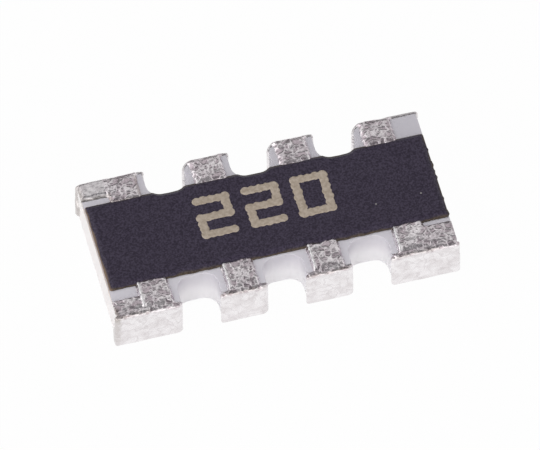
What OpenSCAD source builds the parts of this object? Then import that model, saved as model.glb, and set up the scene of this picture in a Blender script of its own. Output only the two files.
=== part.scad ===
// Four-element thick-film resistor array on a ceramic chip with convex terminals.
// X runs along the chip, Y across it and Z up. The plated feet stand on z = 0.
// Terminals 1 to 4 run along the near side (-Y) towards +X, and 5 to 8 come back along the far side,
// so element k joins terminal k and terminal 9 - k.

/* [Substrate] */
// Length of the ceramic
body_l = 3.20; // [3.10:0.05:3.60]
// Width of the ceramic over its tabs
body_w = 1.50; // [1.40:0.02:1.80]
// Thickness of the ceramic
body_t = 0.40; // [0.25:0.01:0.60]
// Rounding along the ceramic's long edges
edge_r = 0.015; // [0.005:0.005:0.025]
// Spacing of the terminals along the chip
pitch = 0.80; // [0.76:0.01:0.84]
// Width of the notches between the tabs
notch_w = 0.38; // [0.30:0.01:0.42]
// Depth of the notches from the ceramic's long edge
notch_d = 0.28; // [0.20:0.01:0.30]
// Rounding in the notches' inner corners
notch_r = 0.13; // [0.05:0.01:0.14]
// Rounding of each tab's right corner on the near side and left corner on the far side
tab_r = 0.055; // [0.02:0.005:0.06]
// Rounding of each tab's other outer corner
tab_back_r = 0.015; // [0.005:0.005:0.03]

/* [Terminals] */
// Bare ceramic on each side of the pads on the top face
pad_margin = 0.075; // [0.06:0.005:0.09]
// Bare ceramic on each side of the feet on the underside
foot_margin = 0.04; // [0.03:0.005:0.08]
// Depth of the feet from the ceramic's long edge
foot_d = 0.30; // [0.20:0.01:0.45]
// How far the end metal laps over the top and bottom faces beside the pads
lip_d = 0.02; // [0.02:0.005:0.05]
// Depth of the metal band from pad 1 to the chip's end
band_1_d = 0.17; // [0.03:0.01:0.22]
// Depth of the metal band from pad 4 to the chip's end
band_4_d = 0.20; // [0.03:0.01:0.22]
// Depth of the metal band from pad 5 to the chip's end
band_5_d = 0.05; // [0.03:0.01:0.20]
// Depth of the metal band from pad 8 to the chip's end
band_8_d = 0.17; // [0.03:0.01:0.20]
// Thickness of the silver electrodes
electrode_t = 0.010; // [0.006:0.001:0.014]
// Thickness of the nickel barrier
nickel_t = 0.006; // [0.004:0.001:0.010]
// Thickness of the tin plating
tin_t = 0.009; // [0.005:0.001:0.012]

/* [Resistor elements] */
// How far the resistive films stay inside the pads' sides
resistor_inset = 0.01; // [0.005:0.005:0.02]
// Thickness of the resistive films on the electrodes
resistor_t = 0.010; // [0.006:0.001:0.012]
// How far the resistive films lap onto the electrodes
resistor_lap = 0.06; // [0.03:0.01:0.10]
// How far the overcoat reaches past the resistive films
film_margin = 0.06; // [0.04:0.01:0.10]
// Length of the laser trim cut across each film
trim_l = 0.11; // [0.05:0.01:0.12]
// Width of the laser trim cut
trim_w = 0.03; // [0.02:0.005:0.05]
// Thickness of the glass over the resistive films
glass_t = 0.008; // [0.005:0.001:0.009]
// How far the glass reaches past the films
glass_margin = 0.02; // [0.01:0.005:0.03]

/* [Overcoat and marking] */
// From the centre line to the overcoat's near edge
coat_near = 0.45; // [0.35:0.01:0.50]
// From the centre line to the overcoat's far edge
coat_far = 0.50; // [0.40:0.01:0.51]
// Bare ceramic between the overcoat and each end of the chip
coat_end = 0.010; // [0.006:0.002:0.050]
// Height of the overcoat above the ceramic
coat_t = 0.042; // [0.038:0.001:0.060]
// Rounding along the overcoat's top edges
coat_r = 0.012; // [0.005:0.001:0.013]
// Height of the marking's figures
digit_h = 0.45; // [0.30:0.01:0.60]
// Width of the marking's figures
digit_w = 0.34; // [0.24:0.01:0.38]
// Spacing of the marking's figures
digit_pitch = 0.46; // [0.40:0.01:0.60]
// Width of the marking's strokes
stroke_w = 0.075; // [0.04:0.005:0.10]
// Distance of the marking's middle from the centre line
mark_y = 0.09; // [0.00:0.01:0.10]
// Thickness of the marking
mark_t = 0.004; // [0.003:0.001:0.008]

/* [Hidden] */
$fn = 48;
elements = 4;
terminals = 2 * elements;
digits = 3;

// Widths across a terminal, from the tab between two notches
tab_w = pitch - notch_w;
pad_w = tab_w - 2 * pad_margin;
foot_w = tab_w - 2 * foot_margin;
resistor_w = pad_w - 2 * resistor_inset;

// Outer faces of the metal layers, measured out from the ceramic
silver_out = electrode_t;
nickel_out = silver_out + nickel_t;
tin_out = nickel_out + tin_t;

// Levels above the plane that the feet stand on
ceramic_bottom = tin_out;
ceramic_top = ceramic_bottom + body_t;
film_top = ceramic_top + electrode_t + resistor_t;
glass_top = film_top + glass_t;
coat_top = ceramic_top + coat_t;

// Distances from the centre line, across the chip
edge_y = body_w / 2;
flat_y = edge_y - edge_r;
film_y = min(coat_near, coat_far) - film_margin;
electrode_y = film_y - resistor_lap;
glass_y = film_y + glass_margin;

// From the middle of a figure to the middle of its outer strokes
stroke_x = (digit_w - stroke_w) / 2;
stroke_y = (digit_h - stroke_w) / 2;

// How far cutting shapes run past the faces that they cut
past = body_t;

// Places of the terminals: near ones count up along X, far ones count back
function is_near(i) = i <= elements;
function column(i) = is_near(i) ? i : terminals + 1 - i;
function column_x(k) = (k - (elements + 1) / 2) * pitch;
function pad_x(i) = column_x(column(i));
function at_left_end(i) = column(i) == 1;
function at_right_end(i) = column(i) == elements;
function tab_left(i) = at_left_end(i) ? -body_l / 2 : pad_x(i) - tab_w / 2;
function tab_right(i) = at_right_end(i) ? body_l / 2 : pad_x(i) + tab_w / 2;
function corner_r(i, side) = ((side < 0) != is_near(i)) ? tab_r : tab_back_r;
function coat_edge(i) = is_near(i) ? coat_near : coat_far;
function band_d(i) =
    i == 1 ? band_1_d :
    i == elements ? band_4_d :
    i == elements + 1 ? band_5_d :
    i == terminals ? band_8_d : lip_d;

// A box between two opposite corners
module box(low, high) {
    translate(low)
        cube(high - low);
}

// A terminal is drawn on the far side and mirrored to the near side where it belongs there
module on_side(i) {
    mirror([0, is_near(i) ? 1 : 0, 0])
        children();
}

// A rectangle with round corners, about its centre
module round_rectangle(w, h, r) {
    square([w - 2 * r, h], center = true);
    square([w, h - 2 * r], center = true);
    for (x = [-1, 1], y = [-1, 1])
        translate([x * (w / 2 - r), y * (h / 2 - r)])
            circle(r);
}

// The ceramic's plain plate, grown outwards on its long faces
module plate(grow) {
    translate([0, 0, ceramic_bottom + body_t / 2])
        rotate([90, 0, 90])
            linear_extrude(body_l, center = true)
                round_rectangle(body_w + 2 * grow, body_t + 2 * grow, edge_r + grow);
}

// What the rounding of a tab's left (-1) or right (1) outer corner cuts away, grown outwards
module corner_cut(i, side, grow) {
    r = corner_r(i, side);
    reach = r + grow;
    run = reach + notch_w / 2;
    translate([(side < 0 ? tab_left(i) : tab_right(i)) - side * r, edge_y - r, -past])
        linear_extrude(coat_top + 2 * past)
            difference() {
                translate([side < 0 ? -run : 0, 0])
                    square([run, reach + past]);
                circle(reach);
            }
}

// Both rounded corners of one tab
module corner_cuts(i, grow) {
    for (side = [-1, 1])
        corner_cut(i, side, grow);
}

// The plain plate with one tab's corners rounded
module tab_plate(i) {
    difference() {
        plate(0);
        corner_cuts(i, 0);
    }
}

// The outline of one notch, from its flat bottom at y = 0 outwards
module notch_outline() {
    translate([-notch_w / 2, notch_r])
        square([notch_w, notch_d + past]);
    translate([-notch_w / 2 + notch_r, 0])
        square([notch_w - 2 * notch_r, 2 * notch_r]);
    for (x = [-1, 1])
        translate([x * (notch_w / 2 - notch_r), notch_r])
            circle(notch_r);
}

// All notches, right through the chip
module notches() {
    for (k = [1 : elements - 1], side = [0, 1])
        mirror([0, side, 0])
            translate([column_x(k) + pitch / 2, edge_y - notch_d, -past])
                linear_extrude(coat_top + 2 * past)
                    notch_outline();
}

// Where a terminal's metal lies on the top face, grown sideways by the plating
module top_region(i, grow) {
    pad_half = pad_w / 2 + grow;
    outer_y = edge_y + tin_out;
    top = ceramic_top + tin_out;
    box([pad_x(i) - pad_half, coat_edge(i), ceramic_top], [pad_x(i) + pad_half, outer_y, top]);
    box([tab_left(i), edge_y - lip_d - grow, ceramic_top], [tab_right(i), outer_y, top]);
    if (at_left_end(i))
        box([tab_left(i), edge_y - band_d(i) - grow, ceramic_top], [pad_x(i), outer_y, top]);
    if (at_right_end(i))
        box([pad_x(i), edge_y - band_d(i) - grow, ceramic_top], [tab_right(i), outer_y, top]);
}

// Where a terminal's metal lies on the underside, grown sideways by the plating
module bottom_region(i, grow) {
    foot_half = foot_w / 2 + grow;
    foot_y = edge_y - foot_d - grow;
    outer_y = edge_y + tin_out;
    box([pad_x(i) - foot_half, foot_y, 0], [pad_x(i) + foot_half, outer_y, ceramic_bottom]);
    box([tab_left(i), edge_y - lip_d - grow, 0], [tab_right(i), outer_y, ceramic_bottom]);
}

// Where a terminal's metal lies on the tab's end
module end_region(i) {
    wrap_y = edge_y - tab_r / 2;
    box([tab_left(i), flat_y, 0], [tab_right(i), edge_y + tin_out, ceramic_top + tin_out]);
    box([tab_left(i), wrap_y, ceramic_bottom], [tab_right(i), edge_y + tin_out, ceramic_top]);
}

// A terminal's metal out to one layer's outer face, with the tab inside it
module terminal_metal(i, out) {
    difference() {
        intersection() {
            plate(out);
            union() {
                top_region(i, out - silver_out);
                bottom_region(i, out - silver_out);
                end_region(i);
            }
        }
        corner_cuts(i, out);
    }
}

// One plated layer of a terminal, from one outer face to the next
module plated_layer(i, inner, outer) {
    on_side(i)
        difference() {
            terminal_metal(i, outer);
            terminal_metal(i, inner);
            tab_plate(i);
        }
}

// The laser trim cut of one element, right through its glass and its film
module trim_cut(k) {
    start_x = column_x(k) + resistor_w / 2 - trim_l;
    end_x = column_x(k) + resistor_w / 2 + 2 * glass_margin;
    box([start_x, -trim_w / 2, ceramic_top - past], [end_x, trim_w / 2, glass_top + past]);
}

// One resistive film with its electrodes' ends still inside it
module film_block(k) {
    box(
        [column_x(k) - resistor_w / 2, -film_y, ceramic_top],
        [column_x(k) + resistor_w / 2, film_y, film_top]
    );
}

// Both top electrodes of one element
module electrode_pair(k) {
    top_electrode(k);
    top_electrode(terminals + 1 - k);
}

// One stroke of the marking between two points, with round ends
module stroke(from, to) {
    run = to - from;
    translate(from)
        rotate(atan2(run.y, run.x))
            translate([0, -stroke_w / 2])
                square([norm(run), stroke_w]);
    for (end = [from, to])
        translate(end)
            circle(stroke_w / 2);
}

// A chain of strokes
module strokes(points) {
    for (n = [0 : len(points) - 2])
        stroke(points[n], points[n + 1]);
}

// The marking's figures, about their centres
module digit_two() {
    strokes([
        [-stroke_x, stroke_y],
        [stroke_x, stroke_y],
        [stroke_x, 0],
        [-stroke_x, 0],
        [-stroke_x, -stroke_y],
        [stroke_x, -stroke_y]
    ]);
}
module digit_zero() {
    strokes([
        [-stroke_x, stroke_y],
        [stroke_x, stroke_y],
        [stroke_x, -stroke_y],
        [-stroke_x, -stroke_y],
        [-stroke_x, stroke_y]
    ]);
}

module ceramic_substrate() {
    color("#e6e3e8")
        difference() {
            plate(0);
            notches();
            for (i = [1 : terminals])
                on_side(i)
                    corner_cuts(i, 0);
        }
}

module top_electrode(i) {
    color("#d9d8d2")
        on_side(i)
            box(
                [pad_x(i) - pad_w / 2, electrode_y, ceramic_top],
                [pad_x(i) + pad_w / 2, flat_y, ceramic_top + electrode_t]
            );
}

module bottom_electrode(i) {
    color("#d9d8d2")
        on_side(i)
            box(
                [pad_x(i) - foot_w / 2, edge_y - foot_d, ceramic_bottom - electrode_t],
                [pad_x(i) + foot_w / 2, flat_y, ceramic_bottom]
            );
}

module edge_electrode(i) {
    color("#c8c6bf")
        difference() {
            on_side(i)
                difference() {
                    terminal_metal(i, silver_out);
                    tab_plate(i);
                }
            top_electrode(i);
            bottom_electrode(i);
        }
}

module nickel_barrier(i) {
    color("#a9a497")
        plated_layer(i, silver_out, nickel_out);
}

module tin_plating(i) {
    color("#cfcdca")
        plated_layer(i, nickel_out, tin_out);
}

module resistor_film(k) {
    color("#2c2c30")
        difference() {
            film_block(k);
            electrode_pair(k);
            trim_cut(k);
        }
}

module glass_passivation(k) {
    glass_x = resistor_w / 2 + glass_margin;
    color("#5f7a66")
        difference() {
            box(
                [column_x(k) - glass_x, -glass_y, ceramic_top],
                [column_x(k) + glass_x, glass_y, glass_top]
            );
            film_block(k);
            electrode_pair(k);
            trim_cut(k);
        }
}

module overcoat() {
    coat_w = coat_near + coat_far;
    color("#3d3742")
        difference() {
            translate([0, (coat_far - coat_near) / 2, ceramic_top])
                rotate([90, 0, 90])
                    linear_extrude(body_l - 2 * coat_end, center = true)
                        intersection() {
                            round_rectangle(coat_w, 2 * coat_t, coat_r);
                            translate([-coat_w / 2, 0])
                                square([coat_w, coat_t]);
                        }
            notches();
            for (k = [1 : elements]) {
                electrode_pair(k);
                resistor_film(k);
                glass_passivation(k);
            }
        }
}

module value_marking() {
    color("#b5a68c")
        translate([0, mark_y, coat_top])
            linear_extrude(mark_t)
                for (n = [0 : digits - 1])
                    translate([(n - (digits - 1) / 2) * digit_pitch, 0])
                        if (n < digits - 1)
                            digit_two();
                        else
                            digit_zero();
}

ceramic_substrate();
overcoat();
value_marking();
for (k = [1 : elements]) {
    resistor_film(k);
    glass_passivation(k);
}
for (i = [1 : terminals]) {
    top_electrode(i);
    bottom_electrode(i);
    edge_electrode(i);
    nickel_barrier(i);
    tin_plating(i);
}
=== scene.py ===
"""Looks of a four-element chip resistor array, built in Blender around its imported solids.

Shapes are worked out in millimetres and turned into metres when their mesh is made.
X runs along the chip, Y across it and Z up, as in the solids.
Where smooth takes two numbers, a change starts at the first and is complete at the second.
Colours are linear red, green and blue.
"""

import itertools
import math

import bpy
import numpy as np
from mathutils import Matrix, Vector, geometry


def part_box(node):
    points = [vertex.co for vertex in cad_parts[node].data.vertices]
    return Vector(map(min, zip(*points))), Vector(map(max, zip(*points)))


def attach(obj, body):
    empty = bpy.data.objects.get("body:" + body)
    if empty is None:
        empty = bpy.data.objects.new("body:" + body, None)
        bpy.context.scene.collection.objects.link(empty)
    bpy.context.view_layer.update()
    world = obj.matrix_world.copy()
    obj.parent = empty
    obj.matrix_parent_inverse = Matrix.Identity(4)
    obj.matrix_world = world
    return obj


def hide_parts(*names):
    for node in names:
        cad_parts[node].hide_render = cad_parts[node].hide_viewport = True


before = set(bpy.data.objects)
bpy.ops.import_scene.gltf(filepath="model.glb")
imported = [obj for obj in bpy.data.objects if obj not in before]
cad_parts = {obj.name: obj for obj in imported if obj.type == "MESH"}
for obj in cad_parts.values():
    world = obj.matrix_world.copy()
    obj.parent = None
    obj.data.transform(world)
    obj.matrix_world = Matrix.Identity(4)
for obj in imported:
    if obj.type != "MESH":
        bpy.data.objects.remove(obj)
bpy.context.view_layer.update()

MM = 0.001
TINY = 1e-6
TERMINALS = 8
ELEMENTS = 4

# The photograph's frame and the camera that was fitted to it
FRAME_W = 540
FRAME_H = 450
VIEW_AZIMUTH = -13.45
VIEW_ELEVATION = 55.25
VIEW_ROLL = 1.28
VIEW_DISTANCE = 120.5
PIXELS_PER_MM = 109.44
ORIGIN_PIXEL_X = 267.51
ORIGIN_PIXEL_Y = 241.52
SENSOR = 36.0
CLIP_START = 0.01
CLIP_END = 10.0

# Ceramic: notches, rounded edges and the roughness of its walls
NOTCH_W = 0.38
NOTCH_D = 0.28
NOTCH_R = 0.13
NEAR_LEAD_R = 0.055
FAR_LEAD_R = 0.10
BACK_R = 0.015
NOTCH_EDGE_R = 0.003
TAB_CORNER_R = 0.010
TAB_CORNER_IN = 0.10
TAB_CORNER_FULL = 0.05
EDGE_TURNS = 5
LEAST_TURNS = 4
FLAT_RING = 0.0025
WALL_STEP = 0.016
END_IN = 0.03
END_FULL = 0.012
CAP_INSIDE = 1
CAP_LIMIT = 1e-9

# Ceramic's tones: a warm stain at the left end, strongest by the overcoat, and painted shade: walls that
# darken upwards and a top that is lighter at the near left and darker towards the far right
LEFT_IN = 0.02
LEFT_FULL = 0.008
END_WARMTH = 0.14
COAT_STAIN = 0.6
STAIN_DROP = 0.05
STAIN_FULL = 0.004
STAIN_HALF_W = 0.62
STAIN_FADE = 0.15
STAIN_EVEN = 0.75
WALL_SHADE_FADE = 0.08
TOP_SHADE_SLANT = 0.4

# Terminals: the metal's layers out from the tab
TAB_EDGE_R = 0.015
SILVER_T = 0.010
NICKEL_T = 0.016
METAL_T = 0.025
LAYER_GAP = 0.0003
LAYER_MIN = 0.003
SHELL_MIN = 0.001
SINK = 0.004
SINK_SLOPE = 0.6
GRID_STEP = 0.0062
INNER_STEP = 0.014
PAD_SPARE = 0.03
FOOT_SPARE = 3

# Terminals: the metal's outline (pairs are for the near and the far ones)
GROW = 0.015
METAL_CORNER_R = 0.03
LIP_D = (0.02, -0.012)
NEAR_LEAD_WRAP = 0.041
FAR_LEAD_WRAP = 0.09
BACK_WRAP = 0.024
END_WRAP = 0.085
END_WRAP_Z = 0.22
END_WRAP_FADE = 0.06
WRAP_MARGIN = 0.005
PAD_OVERLAP = 0.030
BAND_MIN = 0.08
FOURTH_BAND = 0.04
RAGGED_IN = 0.05

# Terminals: the metal's thickness
PAD_CROWN = 0.005
PAD_RIDE = 0.008
PAD_BEAD = 0.014
BEAD_IN = 0.022
BEAD_W = 0.015
CORNER_FILL = 0.009
RIM_DEPTH = 0.075
RIM_DROP = 0.006
RIM_RIDGE = 0.004
RIDGE_RUN = 0.004
RIDGE_W = 0.012
RIDGE_ON_PAD = 0.35
RIDGE_BESIDE = 0.65
BESIDE_PAD = (-0.02, 0.02)
EDGE_WIDTH = 0.032
PAD_EDGES = (0.03, 0.06)
LIP_FADE = 0.05

# Terminals: where the crystals are coarse
PAD_RANGES = ((0.0, 0.02), (-0.01, 0.006))
LEVEL_RANGES = ((0.02, RIM_DEPTH), (0.0, 0.03))
BAND_COARSE = (0.7, 0.3)
NEAR_RIM_COARSE = 0.9
FAR_RIM_COARSE = 0.25
FAR_PAD_RIM_COARSE = 0.6
FACE_COARSE = 0.08
FOOT_COARSE = 0.35
BEAD_POLISH = 0.95

# Terminals: painted shade in brown lines along the near rims, and stains at the chip's two left corners
RIM_LINE_RUN = 0.038
RIM_LINE_W = 0.017
RIM_SHADE_BROWN = 0.42
FIRST_RIM_SHADE_BROWN = 0.5
SPOT_BROWN = 0.55
SPOT_BROWN_LOSS = 0.25
SPOT_BROWN_X = 0.004
SPOT_BROWN_DOWN = 0.06
SPOT_BROWN_IN = 0.3
SPOT_BROWN_END = 0.12
WRAP_BROWN = 0.35
PAD_EDGE_BROWN = 0.4

# Overcoat: thin wavy edges that rise to a level top
COAT_EDGE_T = 0.011
COAT_RISE = 0.055
COAT_RISE_OUT = 0.2
COAT_MIN = 0.002
COAT_CORNER = 0.02
COAT_RIGHT = 0.0095
COAT_WAVE = 0.0035
COAT_TEETH = 0.012
COAT_END_FADE = 0.06
NOTCH_MARGIN = 0.004
HOLLOW_MARGIN = 0.002
HOLLOW_GAP = 0.0004
FLECKS = ((1.411, -0.156), (0.984, -0.168))
FLECK_R = 0.011
AMBER_LEFT_W = 0.045
AMBER_LEFT_SHARE = 0.9

# Marking: rows of burnt spots along the figures' strokes
FIGURES = "220"
DIGIT_PITCH = 0.46
DIGIT_W = 0.34
STROKE_W = 0.075
SPOT_R = 0.043
SPOT_STEP = 0.066
SPOT_JITTER = 0.005
SPOT_SEED = 300
CORE_HALF = 0.036
MARK_STEP = 0.006
MARK_EDGE_W = 0.012
MARK_SINK = 0.0018
MARK_KEEP = 0.0017
MARK_SINK_SLOPE = 0.3
MARK_UNDER = 0.0015

# Studio: the tent's brightness by direction, the lamp and the floor
TENT_LEFT = 1.30
TENT_RIGHT = 0.80
FAR_SHADE = 0.82
NEAR_SHADE = 0.5
LAMP_PLACE = (-32.0, -72.0, 28.0)
LAMP_W = 180.0
LAMP_H = 90.0
LAMP_POWER = 0.036
FLOOR_HALF = 100.0
FLOOR_DROP = 0.002
FLOOR_GLOW = 0.97

# Colours
TIN_PAD_TONES = ((0.60, 0.52, 0.56), (0.98, 0.93, 0.95))
TIN_FACE_TONES = ((0.79, 0.757, 0.765), (0.90, 0.875, 0.885))
# Painted shade along the creases of the crumpled metal
TIN_CREASE_SHADE = (0.64, 0.60, 0.61)
# A painted highlight along the near pads' raised beads
TIN_BEAD_HIGHLIGHT = (0.97, 0.95, 0.96)
# Brown of the stains, also used for the painted shade along the near rims
TIN_BROWN = (0.25, 0.205, 0.155)
# Ceramic's painted shade: walls pale at the bottom and darker at the top, and a top lighter at the near left
# than at the far right
WALL_BOTTOM = (0.99, 0.97, 0.99)
WALL_TOP_SHADE = (0.62, 0.594, 0.645)
TOP_NEAR_LIT = (0.79, 0.762, 0.822)
TOP_FAR_SHADE = (0.68, 0.655, 0.71)
WARM_STAIN = (0.66, 0.48, 0.33)
COAT_TONES = ((0.022, 0.015, 0.032), (0.062, 0.049, 0.082))
AMBER_TONES = ((0.055, 0.040, 0.030), (0.115, 0.085, 0.055))
AMBER_LEFT = (0.30, 0.21, 0.145)
FLECK_TONE = (0.50, 0.48, 0.46)
MARK_TONES = ((0.41, 0.335, 0.262), (0.565, 0.48, 0.40))
SILVER_TONES = ((0.62, 0.61, 0.58), (0.82, 0.81, 0.77))
RESISTIVE_TONES = ((0.016, 0.016, 0.018), (0.045, 0.045, 0.05))
GLASS_TONES = ((0.07, 0.13, 0.085), (0.12, 0.21, 0.14))
NICKEL_TONES = ((0.44, 0.42, 0.37), (0.60, 0.57, 0.51))
EDGE_METAL_TONES = ((0.52, 0.51, 0.48), (0.72, 0.71, 0.67))
FLOOR_PAPER = (0.96, 0.96, 0.96)
WHITE = (1.0, 1.0, 1.0)
TENT_DARK = (0.16, 0.16, 0.165)


def box_mm(node):
    """A node's lowest and highest corner in millimetres."""
    low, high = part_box(node)
    return np.array(low) / MM, np.array(high) / MM


CERAMIC_LOW, CERAMIC_HIGH = box_mm("ceramic_substrate")
COAT_LOW, COAT_HIGH = box_mm("overcoat")
MARK_LOW, MARK_HIGH = box_mm("value_marking")
BOTTOM = CERAMIC_LOW[2]
HALF_L, HALF_W, TOP = CERAMIC_HIGH


# Shape helpers

def smooth(value, start, end):
    """0 before start, 1 after end and a smooth rise between them."""
    t = np.clip((value - start) / (end - start), 0.0, 1.0)
    return t * t * (3.0 - 2.0 * t)


def peak(value, middle, width):
    """1 at the middle, falling to 0 about so far from it."""
    return np.exp(-(((value - middle) / width) ** 2))


def quarter_round(inside, width):
    """A round edge: 0 outside, 1 from so far inside."""
    return np.sqrt(1.0 - (1.0 - np.clip(inside / width, 0.0, 1.0)) ** 2)


def round_off(past, radius):
    """How far a round corner draws an edge in, so far past the edge's straight part."""
    return radius - np.sqrt(np.maximum(radius**2 - past**2, 0.0))


def grid(x, y, z):
    """Points from their coordinates, each an array or one number."""
    return np.stack(np.broadcast_arrays(x, y, z), axis=-1)


def noise(points, size, seed, depth=1.0):
    """Smooth noise up to its depth either way, with features about size across."""
    cells = 16
    table = np.random.default_rng(seed).uniform(-1.0, 1.0, (cells, cells, cells))
    place = points / size
    base = np.floor(place).astype(int)
    part = place - base
    part = part * part * (3.0 - 2.0 * part)
    total = np.zeros(points.shape[:-1])
    for corner in itertools.product((0, 1), repeat=3):
        weight = np.prod(np.where(corner, part, 1.0 - part), axis=-1)
        index = (base + corner) % cells
        total += weight * table[index[..., 0], index[..., 1], index[..., 2]]
    return depth * total


def add_object(name, data):
    """A new object in the scene."""
    obj = bpy.data.objects.new(name, data)
    bpy.context.collection.objects.link(obj)
    return obj


def piece(name, points, faces, material, nodes, attributes=None):
    """A smooth mesh piece from points in millimetres, which stands for some nodes."""
    mesh = bpy.data.meshes.new(name)
    mesh.from_pydata((np.asarray(points) * MM).tolist(), [], faces)
    for key, values in (attributes or {}).items():
        layer = mesh.attributes.new(key, "FLOAT", "POINT")
        layer.data.foreach_set("value", np.asarray(values, dtype=np.float32).ravel())
    mesh.shade_smooth()
    mesh.validate()
    obj = add_object(name, mesh)
    mesh.materials.append(material)
    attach(obj, "root")
    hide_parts(*nodes)


def cells_with(marked):
    """The cells of a grid that have a marked corner."""
    return marked[:-1, :-1] | marked[1:, :-1] | marked[1:, 1:] | marked[:-1, 1:]


def shell(outer, inner, keep, flip, **looks):
    """Points, faces and looks of a closed shell between two grids, where keep marks its cells."""
    rows, columns = outer.shape[:2]
    index = np.arange(rows * columns).reshape(rows, columns)
    corners = np.stack([index[:-1, :-1], index[1:, :-1], index[1:, 1:], index[:-1, 1:]], axis=-1)[keep]
    if flip:
        corners = corners[:, ::-1]
    edges = np.concatenate([corners[:, [k, (k + 1) % 4]] for k in range(4)])
    count = rows * columns
    there = set((edges[:, 0] * count + edges[:, 1]).tolist())
    border = np.array([(a, b) for a, b in edges.tolist() if b * count + a not in there])
    walls = np.stack([border[:, 1], border[:, 0], border[:, 0] + count, border[:, 1] + count], axis=-1)
    faces = np.concatenate([corners, corners[:, ::-1] + count, walls])
    used = np.unique(faces)
    renumber = np.zeros(2 * count, dtype=int)
    renumber[used] = np.arange(len(used))
    points = np.concatenate([outer.reshape(-1, 3), inner.reshape(-1, 3)])[used]
    looks = {key: np.tile(values.ravel(), 2)[used] for key, values in looks.items()}
    return points, renumber[faces].tolist(), looks


# Node helpers

def new_material(name):
    """A node material with its Principled shader."""
    material = bpy.data.materials.new(name)
    material.use_nodes = True
    return material, material.node_tree, material.node_tree.nodes["Principled BSDF"]


def feed(tree, socket, value):
    """Give a socket a value, or link another node's socket to it."""
    if isinstance(value, bpy.types.NodeSocket):
        tree.links.new(value, socket)
    else:
        socket.default_value = (*value, 1.0) if socket.type == "RGBA" else value


def add(tree, kind, settings=None, **inputs):
    """A shader node with its settings and its inputs, each by name or as n0, n1 and so on."""
    node = tree.nodes.new("ShaderNode" + kind)
    for key, value in (settings or {}).items():
        setattr(node, key, value)
    for key, value in inputs.items():
        numbered = key[0] == "n" and key[1:].isdigit()
        feed(tree, node.inputs[int(key[1:]) if numbered else key], value)
    return node


def position(tree):
    """The surface's place in the object's frame, in millimetres."""
    place = add(tree, "TexCoord").outputs["Object"]
    scaled = add(tree, "VectorMath", {"operation": "SCALE"}, Vector=place, Scale=1.0 / MM)
    return scaled.outputs["Vector"]


def grain(tree, place, scale, detail=2.0, roughness=0.5):
    """Noise with so many features to the millimetre."""
    node = add(tree, "TexNoise", Vector=place, Scale=scale, Detail=detail, Roughness=roughness)
    return node.outputs[0]


def veins(tree, place, scale, width):
    """Winding lines, 1 along their middle and 0 between them."""
    height = calc(tree, "SUBTRACT", grain(tree, place, scale, detail=1.0), 0.5)
    away = add(tree, "Math", {"operation": "ABSOLUTE"}, n0=height).outputs[0]
    return remap(tree, away, 0.0, width, 1.0, 0.0)


def remap(tree, value, low, high, to_low=0.0, to_high=1.0):
    """A value mapped smoothly from one range to another, and held at its ends."""
    node = add(tree, "MapRange", {"interpolation_type": "SMOOTHSTEP"}, Value=value)
    for key, number in zip(("From Min", "From Max", "To Min", "To Max"), (low, high, to_low, to_high)):
        feed(tree, node.inputs[key], number)
    return node.outputs["Result"]


def from_noise(tree, value, to_low=0.0, to_high=1.0):
    """The middle of a noise's range mapped to another range."""
    return remap(tree, value, 0.3, 0.7, to_low, to_high)


def calc(tree, operation, a, b):
    """One sum of two values or sockets."""
    return add(tree, "Math", {"operation": operation}, n0=a, n1=b).outputs[0]


def blend(tree, factor, a, b):
    """A colour between two colours, by a factor."""
    node = add(tree, "Mix", {"data_type": "RGBA"})
    sockets = {s.identifier: s for s in node.inputs}
    for key, value in (("Factor_Float", factor), ("A_Color", a), ("B_Color", b)):
        feed(tree, sockets[key], value)
    return next(s for s in node.outputs if s.identifier == "Result_Color")


def attribute(tree, name):
    """A value kept with the mesh."""
    return add(tree, "Attribute", {"attribute_name": name}).outputs["Fac"]


def bump(tree, height, depth, strength, **below):
    """A normal from a height, with its depth in metres, over another normal if one is given."""
    node = add(tree, "Bump", Height=height, Distance=depth, Strength=strength, **below)
    return node.outputs["Normal"]


def dress(tree, shader, tone, roughness, normal, **settings):
    """Give a material its colour, roughness, normal and other inputs."""
    settings.update(Base_Color=tone, Roughness=roughness, Normal=normal)
    for key, value in settings.items():
        feed(tree, shader.inputs[key.replace("_", " ")], value)


# Materials

def tin_material():
    """Matte tin: coarse crystals on the pads, smoother crumpled metal round the ends, with painted shade in
    its creases and along the near rims, brown stains, and a painted highlight on the near pads' beads.
    """
    material, tree, shader = new_material("tin")
    place = position(tree)
    coarse = attribute(tree, "coarse")
    crystals = veins(tree, place, scale=14.2, width=0.17)
    patches = from_noise(tree, grain(tree, place, scale=6.0, detail=1.0), 0.55, 1.0)
    pad = blend(tree, calc(tree, "MULTIPLY", crystals, patches), *TIN_PAD_TONES)
    clouds = grain(tree, place, scale=10.0)
    face = blend(tree, remap(tree, clouds, 0.35, 0.65), *TIN_FACE_TONES)
    # Painted shade in thin dark lines along the creases
    crease_shade = calc(tree, "MULTIPLY", veins(tree, place, scale=9.0, width=0.035), 0.55)
    face = blend(tree, crease_shade, face, TIN_CREASE_SHADE)
    metal = blend(tree, coarse, face, pad)
    # Painted highlight along the near pads' raised beads
    metal = blend(tree, attribute(tree, "bead_and_highlight"), metal, TIN_BEAD_HIGHLIGHT)
    # Brown stains at the chip's two left corners, and painted shade in brown lines along the near rims
    metal = blend(tree, attribute(tree, "stain_and_rim_shade"), metal, TIN_BROWN)
    fine = grain(tree, place, scale=70.0)
    relief = calc(tree, "ADD", calc(tree, "MULTIPLY", coarse, 0.8), 0.1)
    coarse_normal = bump(tree, crystals, depth=5e-6, strength=relief)
    normal = bump(tree, fine, depth=6e-7, strength=0.25, Normal=coarse_normal)
    dress(tree, shader, metal, from_noise(tree, fine, 0.2, 0.36), normal, Metallic=1.0)
    return material


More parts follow.
